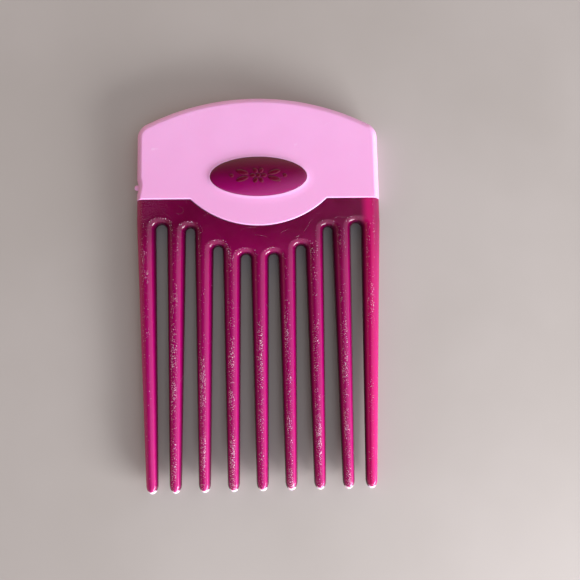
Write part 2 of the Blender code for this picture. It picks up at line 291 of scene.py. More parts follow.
class Graph:
    """Short calls that add shader nodes to a tree and return their outputs."""

    def __init__(self, tree):
        self.tree = tree

    def add(self, kind, inputs, **settings):
        """Add a node; inputs maps a socket's name or index to a value or another node's output."""
        node = self.tree.nodes.new(kind)
        for name, value in settings.items():
            setattr(node, name, value)
        for key, value in inputs.items():
            if isinstance(value, bpy.types.NodeSocket):
                self.tree.links.new(value, node.inputs[key])
            else:
                node.inputs[key].default_value = value
        return node

    def math(self, operation, a, b=0.0):
        return self.add("ShaderNodeMath", {0: a, 1: b}, operation=operation).outputs[0]

    def remap(self, value, low, high, to_low=0.0, to_high=1.0):
        """Map low..high smoothly onto to_low..to_high, held at both ends."""
        inputs = {"Value": value, 1: low, 2: high, 3: to_low, 4: to_high}
        return self.add("ShaderNodeMapRange", inputs, interpolation_type="SMOOTHSTEP").outputs[0]

    def mix(self, factor, a, b):
        """Mix two colours; sockets 6 and 7 and output 2 are the colour ones."""
        inputs = {"Factor": factor, 6: a, 7: b}
        return self.add("ShaderNodeMix", inputs, data_type="RGBA").outputs[2]

    def place(self):
        """The point that is shaded, in metres."""
        return self.add("ShaderNodeTexCoord", {}).outputs["Object"]

    def split(self, vector):
        return self.add("ShaderNodeSeparateXYZ", {0: vector}).outputs

    def stretch(self, vector, scales):
        inputs = {0: vector, 1: scales}
        return self.add("ShaderNodeVectorMath", inputs, operation="MULTIPLY").outputs[0]

    def noise(self, vector, scale, detail=2.0, distortion=0.0):
        inputs = {"Vector": vector, "Scale": scale, "Detail": detail, "Distortion": distortion}
        return self.add("ShaderNodeTexNoise", inputs).outputs["Fac"]

    def attribute(self, name):
        return self.add("ShaderNodeAttribute", {}, attribute_name=name).outputs["Fac"]

    def ramp(self, value, stops):
        """A colour ramp from (position, colour) pairs."""
        node = self.add("ShaderNodeValToRGB", {0: value})
        elements = node.color_ramp.elements
        while len(elements) < len(stops):
            elements.new(1.0)
        for element, (position, colour) in zip(elements, stops):
            element.position = position
            element.color = colour
        return node.outputs["Color"]

    def bump(self, height, strength, distance, normal=None):
        inputs = {"Height": height, "Strength": strength, "Distance": distance}
        if normal is not None:
            inputs["Normal"] = normal
        return self.add("ShaderNodeBump", inputs).outputs["Normal"]

    def scratches(self, vector, scale, width):
        """Thin curved lines where a slow noise crosses its middle value."""
        value = self.noise(vector, scale, detail=1.0, distortion=SCRATCH_BEND)
        away = self.math("ABSOLUTE", self.math("SUBTRACT", value, NOISE_MIDDLE))
        return self.remap(away, 0.0, width, 1.0, 0.0)


def new_material(name):
    material = bpy.data.materials.new(name)
    material.use_nodes = True
    shader = material.node_tree.nodes["Principled BSDF"]
    return material, Graph(material.node_tree), shader


def connect(graph, shader, sockets):
    """Link or set the shader's inputs by name."""
    for name, value in sockets.items():
        if isinstance(value, bpy.types.NodeSocket):
            graph.tree.links.new(value, shader.inputs[name])
        else:
            shader.inputs[name].default_value = value


# ---------------------------------------------------------------- materials

# Magenta from the plate to the tips: lighter where thin, partly the plastic's own depth of colour and
# partly painted light through the thin teeth
PLATE_COLOUR = (0.118, 0.0002, 0.03, 1.0)
ROOT_COLOUR = (0.25, 0.0005, 0.075, 1.0)
TOOTH_COLOUR = (0.34, 0.0006, 0.115, 1.0)
TIP_COLOUR = (0.46, 0.008, 0.16, 1.0)
# Painted shade for the low flanks between the teeth, where the neighbouring teeth cast shadow
FLANK_SHADE_COLOUR = (0.07, 0.0004, 0.022, 1.0)
GLOW_COLOUR = (0.66, 0.002, 0.16, 1.0)
# Whitened tip edges: partly wear, partly a painted highlight
TIP_WORN_AND_HIGHLIGHT = (0.98, 0.8, 0.9, 1.0)
SCUFF_COLOUR = (1.0, 0.72, 0.86, 1.0)
HAZE_COLOUR = (0.4, 0.12, 0.25, 1.0)
BOSS_DARK = (0.13, 0.0004, 0.03, 1.0)
BOSS_BRIGHT = (0.29, 0.001, 0.12, 1.0)
# Painted shade: the ornament's strokes are the same plastic, darkened for the shade on them
RELIEF_SHADE_COLOUR = (0.1, 0.0002, 0.012, 1.0)
PINK_HIGH = (0.94, 0.49, 0.81, 1.0)
PINK_LOW = (0.88, 0.43, 0.73, 1.0)
PINK_WORN = (0.98, 0.7, 0.92, 1.0)
FLOOR_COLOUR = (0.46, 0.44, 0.395, 1.0)
FLOOR_SHADE = (0.42, 0.4, 0.355, 1.0)

# A noise is spread over its whole range between these values, or more gently between the wide ones
NOISE_ENDS = (0.35, 0.65)
WIDE_NOISE_ENDS = (0.3, 0.7)

# Colours of the magenta plastic from the tips of the teeth (0) up to the crown of the grip (1): darker
# where it is thick, partly its own depth of colour and partly painted light that shines through the thin
# teeth
MAGENTA_STOPS = (
    (0.0, TIP_COLOUR),
    (0.34, TOOTH_COLOUR),
    (0.56, ROOT_COLOUR),
    (0.66, PLATE_COLOUR),
)
CLOUD_SCALE = 180.0
CLOUD_STRENGTH = 0.12

# The glow along the long edges: distances across from the middle of the outer teeth, and strengths
RIGHT_GLOW_REACH = (-3.0 * MM, -0.6 * MM)
RIGHT_GLOW = 0.7
RIGHT_RIM_REACH = (0.0, 1.2 * MM)
RIGHT_RIM_PART = 0.3
LEFT_GLOW_REACH = (0.2 * MM, -1.8 * MM)
LEFT_GLOW = 0.35

# The painted shade low between the teeth fades out between these parts of the half thickness, and past
# the outer teeth's middle
FLANK_SHADE_HEIGHTS = (0.3, 0.88)
FLANK_SHADE_REACH = (0.0, 1.0 * MM)

# The boss's colour ends between these squares of the oval's size; its glow grows from the top down
BOSS_COLOUR_ENDS = (1.1, 1.2)
BOSS_GLOW_TOP = BOSS_Y + 0.6 * BOSS_HALF_HEIGHT
BOSS_GLOW_END = BOSS_Y - BOSS_HALF_HEIGHT

# White marks: where they are thicker or thinner, and the noises that they are made of
LOWER_MARKS_REACH = (16.0 * MM, -40.0 * MM)
LOWER_MARKS = 0.09
UPPER_MARKS_REACH = (5.0 * MM, 10.0 * MM)
UPPER_MARKS = 0.045
OUTER_TEETH_X = (23.5 * MM, 25.0 * MM)
OUTER_TEETH_Y = (-8.0 * MM, -22.0 * MM)
OUTER_TEETH_CLEAN = 0.09
SPECK_SCALE = 5000.0
SPECK_STRETCH = (1.0, 0.85, 1.0)
STREAK_SCALE = 5600.0
STREAK_STRETCH = (1.0, 0.25, 1.0)
STREAK_DROP = 0.12
PATCH_SCALE = 300.0
PATCH_STRETCH = (1.0, 0.4, 1.0)
PATCH_ENDS = (0.35, 0.7)
PATCH_SHIFTS = (-0.065, 0.045)
MARK_ENDS = (0.708, 0.728)
CREST_ENDS = (0.3, 0.8)

# The whitened tips: partly wear, partly a painted highlight
TIP_RAG_SCALE = 2600.0
TIP_RAG = 0.5
TIP_WHITE_ENDS = (0.84, 1.04)

# Scratches, the dust in the plate's left corner, and the surface; a bump is a strength and a depth
MAGENTA_SCRATCHES = {
    "stretch": (1.0, 1.3, 1.0),
    "scale": 130.0,
    "width": 0.0035,
    "patch_scale": 260.0,
    "patch_ends": (0.5, 0.62),
}
PLATE_SCRATCHES = 0.12
BOSS_SCRATCHES = 0.35
DUST_SCALE = 3600.0
DUST_ENDS = (0.42, 0.72)
DUST_X = (-20.0 * MM, -28.0 * MM)
DUST_Y = (14.0 * MM, 20.0 * MM)
DUST_STRENGTH = 0.35
MAGENTA_GLOSS_SCALE = 700.0
MAGENTA_ROUGHNESS = (0.11, 0.2)
SCRATCH_WEAR = 0.5
WORN_ROUGHNESS = 0.35
RIPPLE_SCALE = 900.0
RIPPLE_BUMP = (0.12, 0.05 * MM)
WORN_BUMP = (0.9, 0.09 * MM)
MAGENTA_LIGHT = {
    "IOR": 1.5,
    "Subsurface Weight": 0.35,
    "Subsurface Radius": (1.0, 0.08, 0.35),
    "Subsurface Scale": 1.2 * MM,
}

# The ornament's relief: painted darker as painted shade on the strokes, and rubbed in patches
RUB_SCALE = 1800.0
RUB_ENDS = (0.35, 0.7)
RUB_COLOUR_PART = 0.2
RUB_ROUGHNESS = 0.12
RELIEF_ROUGHNESS = 0.1
RELIEF_GRAIN_SCALE = 4200.0
RELIEF_BUMP = (0.2, 0.02 * MM)
RELIEF_IOR = 1.5

# The grip's pink plastic
MOTTLE_SCALE = 140.0
MOTTLE_STRENGTH = 0.3
PINK_SCRATCHES = {
    "stretch": (1.3, 1.0, 1.0),
    "scale": 150.0,
    "width": 0.003,
    "patch_scale": 230.0,
    "patch_ends": (0.52, 0.64),
}
PIT_SCALE = 2600.0
PIT_ENDS = (0.73, 0.78)
PINK_MARK_COLOUR_PART = 0.4
SATIN_SCALE = 480.0
SATIN_ROUGHNESS = (0.34, 0.44)
SCRATCH_POLISH = 0.1
GRAIN_SCALE = 7500.0
GRAIN_BUMP = (0.12, 0.02 * MM)
PINK_MARK_BUMP = (0.4, 0.03 * MM)
PINK_LIGHT = {
    "IOR": 1.48,
    "Subsurface Weight": 0.25,
    "Subsurface Radius": (1.0, 0.5, 0.75),
    "Subsurface Scale": 1.0 * MM,
}

# The floor
FLOOR_CLOUD_SCALE = 16.0
FLOOR_GRAIN_SCALE = 1400.0
FLOOR_BUMP = (0.1, 0.05 * MM)
FLOOR_ROUGHNESS = 0.6


def length_part(graph, y):
    """0 at the tips of the teeth and 1 at the crown of the grip."""
    inputs = {"Value": y, 1: -HALF_LENGTH, 2: HALF_LENGTH}
    return graph.add("ShaderNodeMapRange", inputs).outputs[0]


def outer_middle(graph, y):
    """X of the middle of the rightmost tooth at height y, and of the plate's border above it."""
    return graph.add("ShaderNodeMapRange", {
        "Value": y,
        1: ROOT_Y,
        2: SHOULDER_Y,
        3: HALF_WIDTH - ROOT_HALF_WIDTH,
        4: OUTER_SHOULDER_X,
    }).outputs[0]


def edge_glow(graph, x, y):
    """Light gathers along the comb's long edges, most of all on the right."""
    middle = outer_middle(graph, y)
    past = graph.math("SUBTRACT", x, middle)
    right = graph.remap(past, *RIGHT_GLOW_REACH, 0.0, RIGHT_GLOW)
    right = graph.math("MULTIPLY", right, graph.remap(past, *RIGHT_RIM_REACH, 1.0, RIGHT_RIM_PART))
    left = graph.remap(graph.math("ADD", x, middle), *LEFT_GLOW_REACH, 0.0, LEFT_GLOW)
    return graph.math("MAXIMUM", right, left)


def painted_flank_shade(graph, x, y, z):
    """1 low on the flanks between teeth, where painted shade stands for the shadow of the neighbouring
    teeth; 0 on the crests.
    """
    half = graph.add("ShaderNodeMapRange", {
        "Value": y,
        1: TAPER_Y,
        2: SHOULDER_Y,
        3: PLATE_HALF_THICKNESS,
        4: TIP_HALF_THICKNESS,
    }).outputs[0]
    height = graph.math("ABSOLUTE", graph.math("SUBTRACT", z, MID_Z))
    low = graph.remap(graph.math("DIVIDE", height, half), *FLANK_SHADE_HEIGHTS, 1.0, 0.0)
    past = graph.math("SUBTRACT", graph.math("ABSOLUTE", x), outer_middle(graph, y))
    return graph.math("MULTIPLY", low, graph.remap(past, *FLANK_SHADE_REACH, 1.0, 0.0))


def boss_part(graph, x, y):
    """1 on the oval boss and 0 on the plate and the teeth."""
    across = graph.math("DIVIDE", x, BOSS_HALF_WIDTH)
    along = graph.math("DIVIDE", graph.math("SUBTRACT", y, BOSS_Y), BOSS_HALF_HEIGHT)
    size = graph.math("ADD", graph.math("POWER", across, 2.0), graph.math("POWER", along, 2.0))
    return graph.remap(size, *BOSS_COLOUR_ENDS, 1.0, 0.0)


def magenta_colour_and_painted_light(graph, place, boss):
    """The plastic's colour with painted light through the thin teeth and along the edges, painted shade
    low between the teeth, and painted light on the boss's lower half with painted shade on its upper
    half.
    """
    x, y, z = graph.split(place)
    body = graph.ramp(length_part(graph, y), MAGENTA_STOPS)
    cloud = graph.remap(graph.noise(place, CLOUD_SCALE, detail=3.0), *NOISE_ENDS, 0.0, CLOUD_STRENGTH)
    body = graph.mix(cloud, body, TOOTH_COLOUR)
    body = graph.mix(edge_glow(graph, x, y), body, GLOW_COLOUR)
    body = graph.mix(painted_flank_shade(graph, x, y, z), body, FLANK_SHADE_COLOUR)
    dome = graph.mix(graph.remap(y, BOSS_GLOW_TOP, BOSS_GLOW_END), BOSS_DARK, BOSS_BRIGHT)
    return graph.mix(boss, body, dome)


def mark_shift(graph, x, y):
    """Marks are thicker low on the teeth and above their roots, and thinner low on the outer teeth."""
    low = graph.remap(y, *LOWER_MARKS_REACH, 0.0, LOWER_MARKS)
    high = graph.remap(y, *UPPER_MARKS_REACH, 0.0, UPPER_MARKS)
    outer = graph.remap(graph.math("ABSOLUTE", x), *OUTER_TEETH_X)
    clean = graph.math("MULTIPLY", outer, graph.remap(y, *OUTER_TEETH_Y, 0.0, OUTER_TEETH_CLEAN))
    return graph.math("SUBTRACT", graph.math("ADD", low, high), clean)


def magenta_scuffs(graph, place, x, y):
    """White specks and short streaks that follow the crests."""
    specks = graph.noise(graph.stretch(place, SPECK_STRETCH), SPECK_SCALE, detail=1.0)
    streaks = graph.noise(graph.stretch(place, STREAK_STRETCH), STREAK_SCALE, detail=1.0)
    patches = graph.noise(graph.stretch(place, PATCH_STRETCH), PATCH_SCALE, detail=2.0)
    grain = graph.math("MAXIMUM", specks, graph.math("SUBTRACT", streaks, STREAK_DROP))
    spread = graph.remap(patches, *PATCH_ENDS, *PATCH_SHIFTS)
    amount = graph.math("ADD", grain, graph.math("ADD", mark_shift(graph, x, y), spread))
    crest = graph.remap(graph.attribute("crest"), *CREST_ENDS)
    return graph.math("MULTIPLY", graph.remap(amount, *MARK_ENDS), crest)


def tip_wear_and_highlight(graph, place):
    """The whitened, uneven edge round the end of each tooth: partly wear, partly a painted highlight."""
    ragged = graph.noise(place, TIP_RAG_SCALE, detail=2.0)
    edge = graph.math("ADD", graph.attribute("tip"), graph.math("MULTIPLY", ragged, TIP_RAG))
    return graph.remap(edge, *TIP_WHITE_ENDS)


def patchy_scratches(graph, place, stretch, scale, width, patch_scale, patch_ends):
    """Scratches that show only in patches."""
    lines = graph.scratches(graph.stretch(place, stretch), scale, width)
    return graph.math("MULTIPLY", lines, graph.remap(graph.noise(place, patch_scale), *patch_ends))


def corner_dust(graph, place, x, y):
    """Dust in the plate's left corner, under the grip."""
    dust = graph.remap(graph.noise(place, DUST_SCALE, detail=3.0), *DUST_ENDS)
    corner = graph.math("MULTIPLY", graph.remap(x, *DUST_X), graph.remap(y, *DUST_Y))
    return graph.math("MULTIPLY", dust, corner)


def magenta_plastic():
    """Clear magenta plastic: scratched and dusty, worn white along its crests and tips, with a painted
    highlight on the white tips and painted light and shade in its colour.
    """
    material, graph, shader = new_material("clear_magenta_plastic")
    place = graph.place()
    x, y, _ = graph.split(place)
    boss = boss_part(graph, x, y)
    dust = graph.math("MULTIPLY", corner_dust(graph, place, x, y), DUST_STRENGTH)
    lines = patchy_scratches(graph, place, **MAGENTA_SCRATCHES)
    line_strength = graph.math("ADD", graph.math("MULTIPLY", boss, BOSS_SCRATCHES), PLATE_SCRATCHES)
    scuffs = magenta_scuffs(graph, place, x, y)
    colour = graph.mix(dust, magenta_colour_and_painted_light(graph, place, boss), HAZE_COLOUR)
    colour = graph.mix(graph.math("MULTIPLY", lines, line_strength), colour, HAZE_COLOUR)
    colour = graph.mix(scuffs, colour, SCUFF_COLOUR)
    colour = graph.mix(tip_wear_and_highlight(graph, place), colour, TIP_WORN_AND_HIGHLIGHT)
    gloss = graph.noise(place, MAGENTA_GLOSS_SCALE, detail=3.0)
    smooth = graph.remap(gloss, *WIDE_NOISE_ENDS, *MAGENTA_ROUGHNESS)
    worn = graph.math("MAXIMUM", scuffs, graph.math("MULTIPLY", lines, SCRATCH_WEAR))
    ripple = graph.bump(graph.noise(place, RIPPLE_SCALE, detail=2.0), *RIPPLE_BUMP)
    connect(graph, shader, {
        "Base Color": colour,
        "Roughness": graph.math("ADD", smooth, graph.math("MULTIPLY", worn, WORN_ROUGHNESS)),
        "Normal": graph.bump(worn, *WORN_BUMP, ripple),
        **MAGENTA_LIGHT,
    })
    return material


def relief_plastic():
    """The raised ornament: the same plastic, painted darker as painted shade on the strokes, and lighter
    and duller where fingers rub it.
    """
    material, graph, shader = new_material("clear_magenta_relief")
    place = graph.place()
    rub = graph.remap(graph.noise(place, RUB_SCALE, detail=3.0), *RUB_ENDS)
    # The strokes' dark colour is painted shade; rubbed patches are lighter
    colour = graph.mix(graph.math("MULTIPLY", rub, RUB_COLOUR_PART), RELIEF_SHADE_COLOUR, ROOT_COLOUR)
    connect(graph, shader, {
        "Base Color": colour,
        "Roughness": graph.math("ADD", graph.math("MULTIPLY", rub, RUB_ROUGHNESS), RELIEF_ROUGHNESS),
        "Normal": graph.bump(graph.noise(place, RELIEF_GRAIN_SCALE), *RELIEF_BUMP),
        "IOR": RELIEF_IOR,
    })
    return material


def pink_plastic():
    """Satin pink that gets paler towards the crown, with faint scratches and pits."""
    material, graph, shader = new_material("pale_pink_plastic")
    place = graph.place()
    _, y, _ = graph.split(place)
    body = graph.mix(graph.remap(y, BELLY_Y, HALF_LENGTH), PINK_LOW, PINK_HIGH)
    mottle = graph.remap(graph.noise(place, MOTTLE_SCALE, detail=3.0), *NOISE_ENDS, 0.0, MOTTLE_STRENGTH)
    body = graph.mix(mottle, body, PINK_LOW)
    lines = patchy_scratches(graph, place, **PINK_SCRATCHES)
    pits = graph.remap(graph.noise(place, PIT_SCALE, detail=2.0), *PIT_ENDS)
    marks = graph.math("MAXIMUM", lines, pits)
    satin = graph.remap(graph.noise(place, SATIN_SCALE, detail=4.0), *WIDE_NOISE_ENDS, *SATIN_ROUGHNESS)
    grain = graph.bump(graph.noise(place, GRAIN_SCALE, detail=2.0), *GRAIN_BUMP)
    connect(graph, shader, {
        "Base Color": graph.mix(graph.math("MULTIPLY", marks, PINK_MARK_COLOUR_PART), body, PINK_WORN),
        "Roughness": graph.math("SUBTRACT", satin, graph.math("MULTIPLY", lines, SCRATCH_POLISH)),
        "Normal": graph.bump(marks, *PINK_MARK_BUMP, grain),
        **PINK_LIGHT,
    })
    return material


def floor_material():
    """A pale matt surface with faint clouds."""
    material, graph, shader = new_material("pale_floor")
    place = graph.place()
    cloud = graph.remap(graph.noise(place, FLOOR_CLOUD_SCALE, detail=4.0), *WIDE_NOISE_ENDS)
    connect(graph, shader, {
        "Base Color": graph.mix(cloud, FLOOR_COLOUR, FLOOR_SHADE),
        "Roughness": FLOOR_ROUGHNESS,
        "Normal": graph.bump(graph.noise(place, FLOOR_GRAIN_SCALE, detail=3.0), *FLOOR_BUMP),
    })
    return material


# ---------------------------------------------------------------- core outline


def tooth_part(y):
    """0 at the root height and 1 at the tip's shoulder."""
    return (ROOT_Y - y) / (ROOT_Y - SHOULDER_Y)


def taper_part(y):
    """0 down to the taper's start, 1 at the tip's shoulder."""
    return min(1.0, max(0.0, (TAPER_Y - y) / (TAPER_Y - SHOULDER_Y)))


def tooth_half_width(y):
    return blend(ROOT_HALF_WIDTH, SHOULDER_HALF_WIDTH, tooth_part(y))


def tooth_centre(index, y):
    """X of a tooth's middle at height y; tooth 0 is the leftmost."""
    side = index - TOOTH_COUNT // 2
    if abs(side) < TOOTH_COUNT // 2:
        return side * TOOTH_PITCH
    root_x = HALF_WIDTH - ROOT_HALF_WIDTH
    return math.copysign(blend(root_x, OUTER_SHOULDER_X, tooth_part(y)), side)


def tooth_edge(index, side, y):
    """X of a tooth's left (side -1) or right (side 1) edge."""
    return tooth_centre(index, y) + side * tooth_half_width(y)


def flank_width(y):
    return blend(FLANK_WIDTH, TIP_FLANK_WIDTH, taper_part(y))


def core_half_thickness(y):
    return blend(PLATE_HALF_THICKNESS, TIP_HALF_THICKNESS, taper_part(y))


def land_gap(y):
    """How far the worn land runs in from the end of the crest's rounding."""
    return LAND_PART * (tooth_half_width(y) - (1.0 + CREST_REACH) * flank_width(y))


# One line up the core's edge: four points of its plan, the wear at the shoulder and the crown's end,
# the wear of the land, the whitening of a tooth's tip (partly wear, partly a painted highlight),
# and how far the line is over the top of a slot (0 to 1)
STATION_FIELDS = "foot shoulder crown_end land wear land_wear tip over"
Station = namedtuple("Station", STATION_FIELDS, defaults=(0.0, 0.0, 0.0))


def side_station(x, y, side, wear, land_wear=0.0):
    """A station on an upright edge that faces side (-1 or 1)."""
    width = flank_width(y)
    crown_width = (1.0 + CREST_REACH) * width
    insets = (0.0, width, crown_width, crown_width + land_gap(min(y, ROOT_Y)))
    return Station(*[(x - side * inset, y) for inset in insets], wear, land_wear)


def tooth_side(index, side):
    """Stations down one side of a tooth; the land's wear starts below its root."""
    wear = LEFT_WEAR if side < 0 else RIGHT_WEAR
    stations = []
    for i in range(TAPER_STEPS + 1):
        y = blend(TAPER_Y, SHOULDER_Y, i / TAPER_STEPS)
        land_wear = wear[1] if i > 0 else 0.0
        stations.append(side_station(tooth_edge(index, side, y), y, side, wear, land_wear))
    return stations


def tooth_tip(index):
    """Stations round a tip, from the left shoulder to the right one, without the shoulders."""
    half = SHOULDER_HALF_WIDTH
    length = SHOULDER_Y + HALF_LENGTH
    centre = (tooth_centre(index, SHOULDER_Y), SHOULDER_Y)
    crest = (1.0 + CREST_REACH) * TIP_FLANK_WIDTH
    rings = []
    for inset, size in ((0.0, 1.0), (TIP_FLANK_WIDTH, 1.0), (crest, 1.0), (crest, 1.0 - LAND_PART)):
        radii = ((half - inset) * size, (length - inset) * size)
        rings.append(arc(*centre, *radii, math.pi, 2.0 * math.pi, TIP_STEPS))
    stations = []
    for i, points in enumerate(zip(*rings)):
        tip = math.sin(math.pi * i / TIP_STEPS)
        wear = blend_all(LEFT_WEAR, RIGHT_WEAR, i / TIP_STEPS)
        stations.append(Station(*points, wear, wear[1], tip))
    return stations[1:-1]


def slot_end(index):
    """Stations over the round end of the slot to the right of a tooth, from its left to its right."""
    y = SLOT_CENTRES_Y[int(abs(index - (TOOTH_COUNT - 2) / 2))]
    left = tooth_edge(index, 1, y)
    right = tooth_edge(index + 1, -1, y)
    centre = ((left + right) / 2.0, y)
    radius = (right - left) / 2.0
    stations = []
    for i in range(SLOT_STEPS + 1):
        angle = math.pi * (1.0 - i / SLOT_STEPS)
        over = math.sin(angle) ** 2
        width = blend(FLANK_WIDTH, SLOT_TOP_FLANK, over)
        crown_width = blend((1.0 + CREST_REACH) * FLANK_WIDTH, SLOT_TOP_CROWN, over)
        points = []
        for grown in (0.0, width, crown_width, crown_width + land_gap(y)):
            reach = radius + grown
            points.append((centre[0] + reach * math.cos(angle), centre[1] + reach * math.sin(angle)))
        side_wear = RIGHT_WEAR if angle > math.pi / 2.0 else LEFT_WEAR
        wear = blend_all(side_wear, SLOT_TOP_WEAR, min(1.0, 2.0 * over))
        stations.append(Station(*points, wear, over=over))
    return stations


def plate_side(side):
    """Stations down one side of the plate, from the grip to the root of the outer tooth."""
    low = side_station(side * HALF_WIDTH, ROOT_Y, side, PLATE_WEAR)
    points = []
    for point, drop in zip(low, BORDER_DROPS):
        points.append((point[0], SKIRT_Y - CONTACT_GAP - drop))
    return [Station(*points, PLATE_WEAR), low]


# ---------------------------------------------------------------- grip outline


def belly_knee(drop):
    """X where the straight lower edge meets the round one, both lowered by drop."""
    rise = BELLY_Y + BELLY_RADIUS - (SKIRT_Y - drop)
    return math.sqrt((BELLY_RADIUS + drop) ** 2 - rise ** 2)


def lower_edge(drop):
    """The grip's lower edge between its knees, from right to left, lowered by drop."""
    centre_y = BELLY_Y + BELLY_RADIUS
    radius = BELLY_RADIUS + drop
    half_angle = math.asin(belly_knee(drop) / radius)
    down = 1.5 * math.pi
    return arc(0.0, centre_y, radius, radius, down + half_angle, down - half_angle, BORDER_STEPS)


def crown(side_inset, top_inset):
    """The grip's corners and top, from the right side to the left one."""
    half = HALF_WIDTH - side_inset
    centre_y = HALF_LENGTH - CROWN_RADIUS
    radius = CROWN_RADIUS - top_inset
    corner = CORNER_RADIUS - side_inset
    corner_x = half - corner
    corner_y = centre_y + math.sqrt((radius - corner) ** 2 - corner_x ** 2)
    slope = math.atan2(corner_y - centre_y, corner_x)
    right = arc(corner_x, corner_y, corner, corner, 0.0, slope, CORNER_STEPS)
    top = arc(0.0, centre_y, radius, radius, slope, math.pi - slope, CROWN_STEPS)
    left = [(-x, y) for x, y in reversed(right)]
    return right[:-1] + top + left[1:]


def grip_outline(side_inset, top_inset, drop):
    """A closed outline of the grip's shape, counter-clockwise from the lower right corner."""
    half = HALF_WIDTH - side_inset
    foot_y = SKIRT_Y - drop
    lower = list(reversed(lower_edge(drop)))
    return [(half, foot_y)] + crown(side_inset, top_inset) + [(-half, foot_y)] + lower


# ---------------------------------------------------------------- meshes


def new_object(name, shape):
    """Make an object from a finished bmesh about the mid-plane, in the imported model's frame."""
    bmesh.ops.translate(shape, verts=shape.verts, vec=(0.0, 0.0, MID_Z))
    bmesh.ops.recalc_face_normals(shape, faces=shape.faces)
    mesh = bpy.data.meshes.new(name)
    shape.to_mesh(mesh)
    shape.free()
    made = bpy.data.objects.new(name, mesh)
    bpy.context.scene.collection.objects.link(made)
    return made


def join_rings(shape, low, high):
    """Quads between two closed rings of vertices."""
    for i in range(len(low)):
        j = (i + 1) % len(low)
        shape.faces.new((low[i], low[j], high[j], high[i]))


def prism(shape, outline, bottom, top):
    """Add an upright prism with a counter-clockwise outline."""
    low = [shape.verts.new((x, y, bottom)) for x, y in outline]
    high = [shape.verts.new((x, y, top)) for x, y in outline]
    join_rings(shape, low, high)
    shape.faces.new(list(reversed(low)))
    shape.faces.new(high)


def combine(target, operation, other):
    """Settle one Boolean into the target's mesh and remove the other object."""
    modifier = target.modifiers.new(other.name, "BOOLEAN")
    modifier.operation = operation
    modifier.solver = "EXACT"
    modifier.object = other
    bpy.context.view_layer.update()
    depsgraph = bpy.context.evaluated_depsgraph_get()
    target.data = bpy.data.meshes.new_from_object(target.evaluated_get(depsgraph))
    target.modifiers.clear()
    bpy.data.objects.remove(other)


def finish_piece(piece, material, node):
    """Give a piece its material and shading, and tie it to the frame."""
    piece.data.materials.clear()
    piece.data.materials.append(material)
    piece.data.shade_smooth()
    piece.data.set_sharp_from_angle(angle=SHARP_ANGLE)
    shading = piece.modifiers.new("shading", "WEIGHTED_NORMAL")
    shading.keep_sharp = True
    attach(piece, "root")
    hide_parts(node)


# ---------------------------------------------------------------- core piece


def core_profile():
    """(inset, height, height over a slot, edge wear, crown part) from the parting line up.

    Past the flank's shoulder comes the crown: a low parabola that is level at its end.
    """
    shoulder_height, wear = FLANK_PROFILE[-1][1:]
    profile = []
    for inset, height, edge_wear in FLANK_PROFILE:
        profile.append((inset, height, height * SLOT_TOP_SHOULDER / shoulder_height, edge_wear, 0.0))
    for step in range(1, CREST_STEPS + 1):
        part = step / CREST_STEPS
        height = 1.0 - (1.0 - shoulder_height) * (1.0 - part) ** 2
        slot_height = 1.0 - (1.0 - SLOT_TOP_SHOULDER) * (1.0 - part) ** SLOT_TOP_SOFTNESS
        profile.append((1.0, height, slot_height, wear, part))
    return profile


def core_stations():
    """All stations of the core's edge, and where each tooth's own stations start."""
    stations = plate_side(-1)
    tooth_starts = []
    for index in range(TOOTH_COUNT):
        tooth_starts.append(len(stations))
        stations += tooth_side(index, -1) + tooth_tip(index) + list(reversed(tooth_side(index, 1)))
        if index < TOOTH_COUNT - 1:
            stations += slot_end(index)
    stations += list(reversed(plate_side(1)))
    borders = [lower_edge(CONTACT_GAP + drop) for drop in BORDER_DROPS]
    stations += [Station(*points, NO_WEAR) for points in zip(*borders)]
    return stations, tooth_starts


def add_half_flank(shape, layers, stations, direction):
    """Rings from the parting line to the land's end; direction is 1 for the front, -1 for the back."""
    crest, tip = layers
    rings = []
    for inset, side_height, slot_height, wear, crown_part in core_profile():
        ring = []
        for station in stations:
            edge = blend_all(station.foot, station.shoulder, inset)
            x, y = blend_all(edge, station.crown_end, crown_part)
            height = blend(side_height, slot_height, station.over)
            top = core_half_thickness(station.shoulder[1])
            vertex = shape.verts.new((x, y, direction * top * height))
            vertex[crest] = blend(wear * station.wear[0], station.wear[1], crown_part)
            vertex[tip] = station.tip * max(0.0, 1.0 - (height / TIP_WHITE_HEIGHT) ** TIP_WHITE_SHARPNESS)
            ring.append(vertex)
        rings.append(ring)
    ring = []
    for station in stations:
        vertex = shape.verts.new((*station.land, direction * core_half_thickness(station.shoulder[1])))
        vertex[crest] = station.land_wear
        ring.append(vertex)
    rings.append(ring)
    for low, high in zip(rings, rings[1:]):
        join_rings(shape, low, high)
    return rings


def close_core_face(shape, ring, tooth_starts):
    """Fill the flat face of the plate, and the narrow crest down the middle of each tooth."""
    tooth_length = 2 * (TAPER_STEPS + 1) + TIP_STEPS - 1
    plate = list(ring)
    for start in reversed(tooth_starts):
        left = start
        right = start + tooth_length - 1
        del plate[left + 1:right]
        while right - left > 2:
            shape.faces.new((ring[left], ring[left + 1], ring[right - 1], ring[right]))
            left += 1
            right -= 1
        shape.faces.new((ring[left], ring[left + 1], ring[right]))
    shape.faces.new(plate)


def core_shape():
    """An empty bmesh with the layers that say where the core is worn."""
    shape = bmesh.new()
    return shape, [shape.verts.layers.float.new(name) for name in ("crest", "tip")]


def make_blade():
    """The plate and its teeth."""
    shape, layers = core_shape()
    stations, tooth_starts = core_stations()
    for direction in (1, -1):
        rings = add_half_flank(shape, layers, stations, direction)
        close_core_face(shape, rings[-1], tooth_starts)
    bmesh.ops.remove_doubles(shape, verts=shape.verts, dist=MERGE_DISTANCE)
    return new_object("comb_core_looks", shape)


